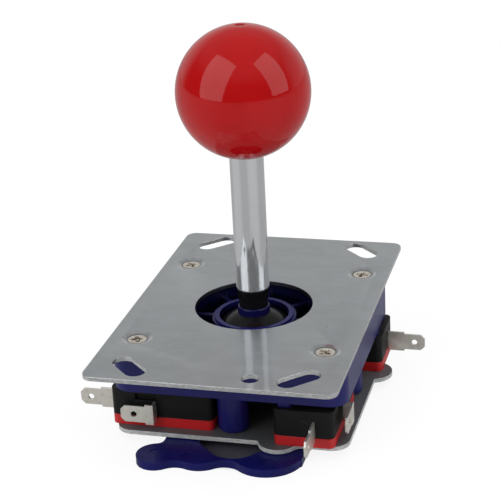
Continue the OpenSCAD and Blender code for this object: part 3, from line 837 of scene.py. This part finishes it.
@dataclass
class LeverTop:
    """Ball, insert, chromed shaft and clip, which turn and tilt together."""

    ball_r: float = 17.5
    ball_z: float = 59.8
    flat_r: float = 5.4
    insert_r: float = 4.9
    insert_l: float = 13.0
    stud_r: float = 2.9
    stud_l: float = 11.0
    shaft_r: float = 4.5
    rod_r: float = 3.0
    shoulder_z: float = 5.3
    rod_bottom: float = -27.35
    groove_r: float = 2.3
    clip_top: float = -25.65
    clip_bottom: float = -26.25
    seat_gap: float = 0.05
    dimple_r: float = 1.35
    dimple_depth: float = 0.42
    crown_angle: float = 0.16

    @property
    def flat_z(self) -> float:
        """Height of the ball's flat underside."""
        return self.ball_z - math.sqrt(self.ball_r ** 2 - self.flat_r ** 2)

    def ball(self) -> Piece:
        """Sphere R sin a, R cos a with a small pit: R drops by depth exp(-(r/r0)^4) on top.

        Returns:
            The piece.
        """
        low = math.pi - math.asin(self.flat_r / self.ball_r)
        fine = np.linspace(0, self.crown_angle, 26)[:-1]
        a = np.concatenate([fine, np.linspace(self.crown_angle, low, 90)])
        pit = self.dimple_depth * np.exp(-((self.ball_r * a / self.dimple_r) ** 4))
        r = self.ball_r * np.sin(a)
        z = self.ball_z + (self.ball_r - pit) * np.cos(a)
        skin = np.stack([r, z], 1)
        bore = self.insert_r + self.seat_gap
        top = self.flat_z + self.insert_l + self.seat_gap
        under = rounded_outline([(self.flat_r, self.flat_z, 0.0), (bore, self.flat_z, 0.12),
                                 (bore, top, 0.2), (0.0, top, 0.0)], 4, closed=False)
        under[0] = skin[-1]
        outline = np.concatenate([skin, under[1:]])
        return put_mesh("ball_top", [turned(outline, 160, closed=False)], BALL)

    def insert(self) -> Piece:
        """Round bush: a rectangle with rounded corners goes round Z.

        Returns:
            The piece.
        """
        bore = self.stud_r + self.seat_gap
        low, high = self.flat_z, self.flat_z + self.insert_l
        outline = rounded_outline([(bore, low, 0.15), (self.insert_r, low, 0.2),
                                   (self.insert_r, high, 0.2), (bore, high, 0.15)])
        return put_mesh("ball_insert", [turned(outline, 72, closed=True)], BRASS)

    def shaft(self) -> Piece:
        """Stepped bar: tail, clip groove, running part, thick part and stud go round Z.

        Returns:
            The piece.
        """
        top = self.flat_z - self.seat_gap
        stud_top = top + self.stud_l
        groove = (self.clip_bottom - self.seat_gap, self.clip_top + self.seat_gap)
        outline = rounded_outline([
            (0.0, self.rod_bottom, 0.0), (self.rod_r, self.rod_bottom, 0.4),
            (self.rod_r, groove[0], 0.06), (self.groove_r, groove[0], 0.06),
            (self.groove_r, groove[1], 0.06), (self.rod_r, groove[1], 0.06),
            (self.rod_r, self.shoulder_z, 0.08), (self.shaft_r, self.shoulder_z, 0.35),
            (self.shaft_r, top, 0.15), (self.stud_r, top, 0.1),
            (self.stud_r, stud_top, 0.4), (0.0, stud_top, 0.0)], 5, closed=False)
        return put_mesh("shaft", [turned(outline, 128, closed=False)], CHROME)

    def build(self) -> None:
        """Builds and dresses the pieces that ride on the lever."""
        fit(self.ball(), Body.LEVER.value, ["ball_top"])
        fit(self.insert(), Body.LEVER.value, ["ball_insert"])
        fit(self.shaft(), Body.LEVER.value, ["shaft"])
        fit(softened("e_clip", CLIP, 0.06), Body.LEVER.value, ["e_clip"])


@dataclass
class PivotBlock:
    """Blue pivot, black sleeve, dust cap and actuator, which tilt but don't turn."""

    ball_r: float = 6.4
    centre_z: float = -10.0
    neck_r: float = 4.3
    neck_top: float = 0.1
    neck_edge: float = 0.4
    tube_r: float = 4.2
    tube_bottom: float = -19.9
    bore_r: float = 3.06
    sleeve_r: float = 4.3
    sleeve_top: float = 5.25
    seat_gap: float = 0.05
    cap_rim_r: float = 9.15
    cap_top: float = -1.9
    cap_fall: float = 2.7
    cap_wall: float = 0.9

    def pivot(self) -> Piece:
        """Neck, ball and tube in one outline round a bore.

        Returns:
            The piece.
        """
        top = self.centre_z + math.sqrt(self.ball_r ** 2 - self.neck_r ** 2)
        low = self.centre_z - math.sqrt(self.ball_r ** 2 - self.tube_r ** 2)
        a = np.linspace(math.asin((low - self.centre_z) / self.ball_r),
                        math.asin((top - self.centre_z) / self.ball_r), 40)
        belly = np.stack([self.ball_r * np.cos(a), self.centre_z + self.ball_r * np.sin(a)], 1)
        upper = rounded_outline([(self.neck_r, top, 0.0),
                                 (self.neck_r, self.neck_top, self.neck_edge),
                                 (self.bore_r, self.neck_top, 0.12),
                                 (self.bore_r, self.tube_bottom, 0.12),
                                 (self.tube_r, self.tube_bottom, 0.15),
                                 (self.tube_r, low, 0.0)], 9, closed=False)
        outline = np.concatenate([belly, upper[1:-1]])
        return put_mesh("pivot", [turned(outline, 96, closed=True)], SHADED_BLUE)

    def sleeve(self) -> Piece:
        """Bush that widens upwards: a slanted rectangle with rounded corners goes round Z.

        Returns:
            The piece.
        """
        low = self.neck_top + self.seat_gap
        outline = rounded_outline([
            (self.bore_r, low, 0.08), (self.neck_r - self.neck_edge, low, 0.12),
            (self.sleeve_r, self.sleeve_top, 0.12), (self.bore_r, self.sleeve_top, 0.08)])
        return put_mesh("sleeve", [turned(outline, 96, closed=True)], GLOSS_BLACK)

    def dust_cap(self) -> Piece:
        """Shallow dome: two arcs z = c + (R^2 - r^2)^0.5, one above the other, go round Z.

        Returns:
            The piece.
        """
        inner, outer = self.neck_r + self.seat_gap, self.cap_rim_r
        high, low = self.cap_top, self.cap_top - self.cap_fall
        centre = (inner ** 2 - outer ** 2 + high ** 2 - low ** 2) / (2 * (high - low))
        dome_r = math.hypot(inner, high - centre)
        r = np.linspace(inner, outer, 14)
        above = [(a, centre + math.sqrt(dome_r ** 2 - a * a), 0.0) for a in r]
        inner_r = dome_r - self.cap_wall
        below = [(a, centre + math.sqrt(inner_r ** 2 - a * a), 0.0) for a in r[::-1]]
        for arc, end in ((above, 0), (above, -1), (below, 0), (below, -1)):
            arc[end] = (*arc[end][:2], 0.12)
        outline = rounded_outline(above + below, 4)
        return put_mesh("dust_cap", [turned(outline, 120, closed=True)], GLOSS_BLACK)

    def build(self) -> None:
        """Builds and dresses the pieces that ride on the pivot."""
        fit(self.pivot(), Body.PIVOT.value, ["pivot"])
        fit(self.dust_cap(), Body.PIVOT.value, ["dust_cap"])
        fit(self.sleeve(), Body.PIVOT.value, ["sleeve"])
        fit(softened("actuator", BLACK, 0.25), Body.PIVOT.value, ["actuator"])


@dataclass
class CoilSpring:
    """Coil between the housing's boss and the actuator's pocket."""

    wire_r: float = 0.45
    turns: float = 4.0
    turn_steps: int = 40
    coil_r: float = 6.375
    top: float = -13.69
    bottom: float = -19.76
    rest_share: float = 0.55
    tip_share: float = 1 / 160

    def build(self) -> None:
        """Helix R cos t, R sin t that climbs slowly at both ends, with tapered tips.

        With s from 0 to 1 along the wire, the climb is s - rest sin(2 pi s) / (2 pi).
        """
        t = np.linspace(0, 1, int(self.turns * self.turn_steps))
        climb = t - np.sin(2 * np.pi * t) / (2 * np.pi) * self.rest_share
        rise = self.bottom + self.wire_r + climb * (self.top - self.bottom - 2 * self.wire_r)
        angle = 2 * np.pi * self.turns * t
        path = np.stack([self.coil_r * np.cos(angle), self.coil_r * np.sin(angle), rise], 1)
        radius = self.wire_r * np.minimum(1.0, np.minimum(t, 1 - t) / self.tip_share) ** 0.5
        piece = put_mesh("spring", [swept_ring(path, radius, 14)], WIRE, 60.0)
        fit(piece, Body.COIL.value, ["spring"])


@dataclass
class CrossScrew:
    """Countersunk screw with a cross recess that narrows downwards."""

    head_r: float = 2.6
    shank_r: float = 1.45
    length: float = 9.5
    arm_l: float = 1.8
    arm_w: float = 0.52
    depth: float = 1.05
    crown: float = 0.05
    wall_w: float = 0.14
    fall_share: float = 0.45
    tip: float = 0.4
    flat_share: float = 0.94
    rim_shares: ClassVar[tuple[float, ...]] = (0.97, 0.99, 1.0)
    rim_drops: ClassVar[tuple[float, ...]] = (0.0, 0.025, 0.09)

    @property
    def head_h(self) -> float:
        """Height of the cone, which stands at 45 degrees."""
        return self.head_r - self.shank_r

    def shape(self) -> Surface:
        """Head, cone and shank as one polar grid.

        The top is z = -crown (r/R)^2 - depth m, where m is 1 inside the cross and falls
        off over its slanted walls. Its rim drops a little, and the cone and shank follow.

        Returns:
            Points in millimetres, head up at height zero, and quads.
        """
        t = np.linspace(0, 2 * np.pi, 96, endpoint=False)
        flat = np.linspace(0, self.flat_share, 40)
        r_top = self.head_r * np.concatenate([flat, self.rim_shares])
        r, a = np.meshgrid(r_top, t, indexing="ij")
        x, y = r * np.cos(a), r * np.sin(a)
        arm = np.minimum(np.hypot(np.maximum(np.abs(x) - self.arm_l + self.arm_w, 0), y),
                         np.hypot(np.maximum(np.abs(y) - self.arm_l + self.arm_w, 0), x))
        wall = np.clip((self.arm_w - arm) / self.wall_w, 0, 1)
        floor = self.depth * (1 - self.fall_share * np.clip(r / self.arm_l, 0, 1) ** 2)
        rim = np.concatenate([0 * flat, self.rim_drops])[:, None]
        z = -self.crown * (r / self.head_r) ** 2 - floor * wall * wall * (3 - 2 * wall) - rim
        side = np.array([[self.shank_r, -self.head_h], [self.shank_r, -self.length + self.tip],
                         [self.shank_r - self.tip, -self.length], [0.0, -self.length]])
        ring = np.stack([side[:, :1] * np.cos(t), side[:, :1] * np.sin(t),
                         side[:, 1:] + 0 * t], -1)
        points = np.concatenate([np.stack([x, y, z], -1), ring]).reshape(-1, 3)
        return points, wrap_grid(len(r_top) + len(side), len(t), False, True)

    def placed(self, place: Place, turn_deg: float, down: bool) -> Surface:
        """The screw at a place, turned about its axis, with its head up or down.

        Args:
            place: Middle of the head's top.
            turn_deg: Turn of the recess.
            down: Whether the head faces down.

        Returns:
            Points in millimetres and quads.
        """
        points, quads = self.shape()
        c, s = math.cos(math.radians(turn_deg)), math.sin(math.radians(turn_deg))
        points = points @ np.array([[c, s, 0], [-s, c, 0], [0, 0, 1.0]])
        if down:
            points = points * np.array([1, -1, -1.0])
        return points + np.array(place), quads


@dataclass
class FixedUnit:
    """Plates, housing, screws and switches, which don't move."""

    plate_screw: CrossScrew = field(default_factory=CrossScrew)
    base_screw: CrossScrew = field(default_factory=lambda: CrossScrew(length=8.0))
    screw_half: float = 25.0
    seat_depth: float = 0.35
    post_reach: float = 25.2
    base_bottom: float = -25.2
    screw_turns_deg: ClassVar[tuple[float, ...]] = (22.0, 51.0, -12.0, 35.0)

    def screws(self) -> None:
        """Four screws in the plate's seats and four in the bottom plate."""
        half, reach = self.screw_half, self.post_reach
        corners = [(-half, -half), (half, -half), (half, half), (-half, half)]
        ends = [(0.0, -reach), (reach, 0.0), (0.0, reach), (-reach, 0.0)]
        above = [self.plate_screw.placed((x, y, -self.seat_depth), turn, down=False)
                 for (x, y), turn in zip(corners, self.screw_turns_deg)]
        below = [self.base_screw.placed((x, y, self.base_bottom), turn, down=True)
                 for (x, y), turn in zip(ends, self.screw_turns_deg)]
        for node, shapes in (("plate_screws", above), ("bottom_screws", below)):
            fit(put_mesh(node, shapes, SCREW), Body.BASE.value, [node])

    def switches(self) -> None:
        """Case, cover and terminals of the switch on each side."""
        for side in Side:
            for part, finish, edge in (("switch_case", BLACK, 0.18), ("switch_cover", RED, 0.22),
                                       ("com_terminal", TINNED, 0.07),
                                       ("no_terminal", TINNED, 0.07)):
                node = f"{part}_{side.value}"
                fit(softened(node, finish, edge), Body.BASE.value, [node])

    def build(self) -> None:
        """Builds and dresses all fixed pieces."""
        for node, finish, edge, sharp_deg in (("mounting_plate", ZINC, 0.16, 14.0),
                                              ("bottom_plate", DULL_SHADED_ZINC, 0.16, 30.0),
                                              ("housing", WELL_BLUE, 0.2, 30.0)):
            fit(softened(node, finish, edge, sharp_deg=sharp_deg), Body.BASE.value, [node])
        self.screws()
        self.switches()


@dataclass
class Movers:
    """Gate and plungers, each on its own body."""

    gate_edge: float = 0.3
    plunger_edge: float = 0.12

    def build(self) -> None:
        """Builds and dresses the gate and the four plungers."""
        fit(softened("gate", BLUE, self.gate_edge), Body.GATE.value, ["gate"])
        for side in Side:
            node = f"plunger_{side.value}"
            fit(softened(node, RED, self.plunger_edge), node, [node])


# Studio


@dataclass(frozen=True)
class Softbox:
    """Large rectangular lamp that faces the ball."""

    name: str
    azimuth_deg: float
    elevation_deg: float
    width: float
    height: float
    power: float
    distance: float = 1.0
    mirrored: bool = True
    target: Place = (0.0, 0.0, 0.0598)

    def place(self) -> None:
        """Stands the lamp at its direction from the target and turns it there."""
        a, e = math.radians(self.azimuth_deg), math.radians(self.elevation_deg)
        away = Vector((math.sin(a) * math.cos(e), -math.cos(a) * math.cos(e), math.sin(e)))
        data = bpy.data.lights.new(self.name, "AREA")
        data.shape = "RECTANGLE"
        data.size, data.size_y, data.energy = self.width, self.height, self.power
        lamp = bpy.data.objects.new(self.name, data)
        lamp.visible_glossy = self.mirrored
        lamp.location = Vector(self.target) + away * self.distance
        lamp.rotation_euler = away.to_track_quat("Z", "Y").to_euler()
        bpy.context.scene.collection.objects.link(lamp)


@dataclass
class Studio:
    """Camera, lamps, pale floor and backdrop."""

    camera_place: Place = (0.103978, -0.375837, 0.175635)
    camera_turn_deg: Place = (67.698728, 2.694959, 14.401894)
    lens: float = 113.826
    sensor: float = 36.0
    near: float = 0.01
    floor_z: float = -0.02775
    floor_half: float = 3.0
    floor_colour: Colour = (0.86, 0.86, 0.86)
    floor_seen: float = 1.04
    mirror_low: float = 0.06
    mirror_high: float = 0.63
    fill_level: float = 0.5
    shadow_share: float = 0.16
    mirror_share: float = 0.8
    floor_mirror: float = 0.40
    pool_turns_deg: tuple[float, float] = (-68.0, 50.0)
    pool_edge: tuple[float, float] = (0.72, 0.98)
    pool_gain: float = 0.4
    shade_middle: tuple[float, float] = (1.6, -25.0)
    shade_r: tuple[float, float] = (11.5, 16.5)
    shade_colour: Colour = (0.08, 0.077, 0.098)
    white: ClassVar[Colour] = (1.0, 1.0, 1.0)

    def camera(self) -> None:
        """Camera at the photograph's place, turn and lens."""
        data = bpy.data.cameras.new("camera")
        data.lens, data.sensor_width, data.clip_start = self.lens, self.sensor, self.near
        made = bpy.data.objects.new("camera", data)
        made.location = self.camera_place
        made.rotation_euler = Euler([math.radians(a) for a in self.camera_turn_deg], "XYZ")
        bpy.context.scene.collection.objects.link(made)
        bpy.context.scene.camera = made

    def lamps(self) -> None:
        """Two softboxes in front and a weak one overhead."""
        for box in (
            Softbox("softbox_left", azimuth_deg=-40.6, elevation_deg=31.7, width=0.865,
                    height=1.296, power=7.4),
            Softbox("softbox_right", azimuth_deg=80.7, elevation_deg=31.8, width=0.659,
                    height=1.155, power=4.6),
            Softbox("overhead", azimuth_deg=150.0, elevation_deg=74.0, width=1.4, height=1.4,
                    power=5.0, distance=1.3, mirrored=False),
        ):
            box.place()

    def world(self) -> None:
        """White for the camera, graded for mirrors and a plain fill for the rest.

        Mirrored rays see a pale wall behind and above the unit and a dark room in front.
        """
        world = bpy.data.worlds.new("studio")
        world.use_nodes = True
        bpy.context.scene.world = world
        graph = Graph(world.node_tree)
        seen, glossy = graph.rays()
        _, back, up = graph.parts(graph.node("ShaderNodeTexCoord", {}, {}, "Generated"))
        wall = back.ramp(0.1, 0.5) * (1 - up.ramp(0.3, 0.65) * 0.4)
        pale = wall.most(up.ramp(0.35, 0.75) * 0.7)
        mirror = pale * (self.mirror_high - self.mirror_low) + self.mirror_low
        fill = (1 - seen.most(glossy)) * self.fill_level
        light = graph.node("ShaderNodeBackground", {}, {
            "Color": self.white, "Strength": seen + glossy * mirror + fill})
        graph.end("ShaderNodeOutputWorld", light)

    def floor(self) -> None:
        """Wide pale floor that shows nearly white, with a soft shadow and shade at the gate.

        Mirrored rays see two brighter pools, one before each softbox. From below it is clear.
        """
        h, z = self.floor_half, self.floor_z
        mesh = bpy.data.meshes.new("floor")
        mesh.from_pydata([(-h, -h, z), (h, -h, z), (h, h, z), (-h, h, z)], [], [(0, 1, 2, 3)])
        made = bpy.data.objects.new("floor", mesh)
        bpy.context.scene.collection.objects.link(made)
        material = bpy.data.materials.new("pale_floor")
        material.use_nodes = True
        graph = Graph(material.node_tree)
        seen, glossy = graph.rays()
        x, y, _ = graph.axes()
        shade_x, shade_y = self.shade_middle
        clear = distance(x - shade_x, y - shade_y).ramp(*self.shade_r)
        lit = graph.node("ShaderNodeBsdfDiffuse", {}, {
            "Color": graph.blend(clear, self.shade_colour, self.floor_colour)})
        away = distance(x, y).most(1.0)
        left, right = (((x * math.sin(a) - y * math.cos(a)) / away).ramp(*self.pool_edge)
                       for a in map(math.radians, self.pool_turns_deg))
        mirror = (1 + (left + right) * self.pool_gain) * self.floor_mirror
        glow = graph.node("ShaderNodeEmission", {}, {
            "Color": self.white, "Strength": seen * self.floor_seen + glossy * mirror})
        share = (seen * (1 - self.shadow_share) + glossy * self.mirror_share) * clear
        mixed = graph.node("ShaderNodeMixShader", {}, {0: share, 1: lit, 2: glow})
        under = graph.node("ShaderNodeNewGeometry", {}, {}, "Backfacing")
        open_below = graph.node("ShaderNodeBsdfTransparent", {}, {})
        whole = graph.node("ShaderNodeMixShader", {}, {0: under, 1: mixed, 2: open_below})
        graph.end("ShaderNodeOutputMaterial", whole)
        mesh.materials.append(material)

    def build(self) -> None:
        """Sets the studio up."""
        bpy.context.scene.view_settings.view_transform = "Standard"
        self.camera()
        self.lamps()
        self.world()
        self.floor()


def main() -> None:
    """Builds the sub-assemblies in order, then the studio."""
    logging.basicConfig(level=logging.INFO, format="%(message)s")
    for assembly in (FixedUnit(), PivotBlock(), CoilSpring(), LeverTop(), Movers()):
        assembly.build()
    Studio().build()


if __name__ == "__main__":
    main()
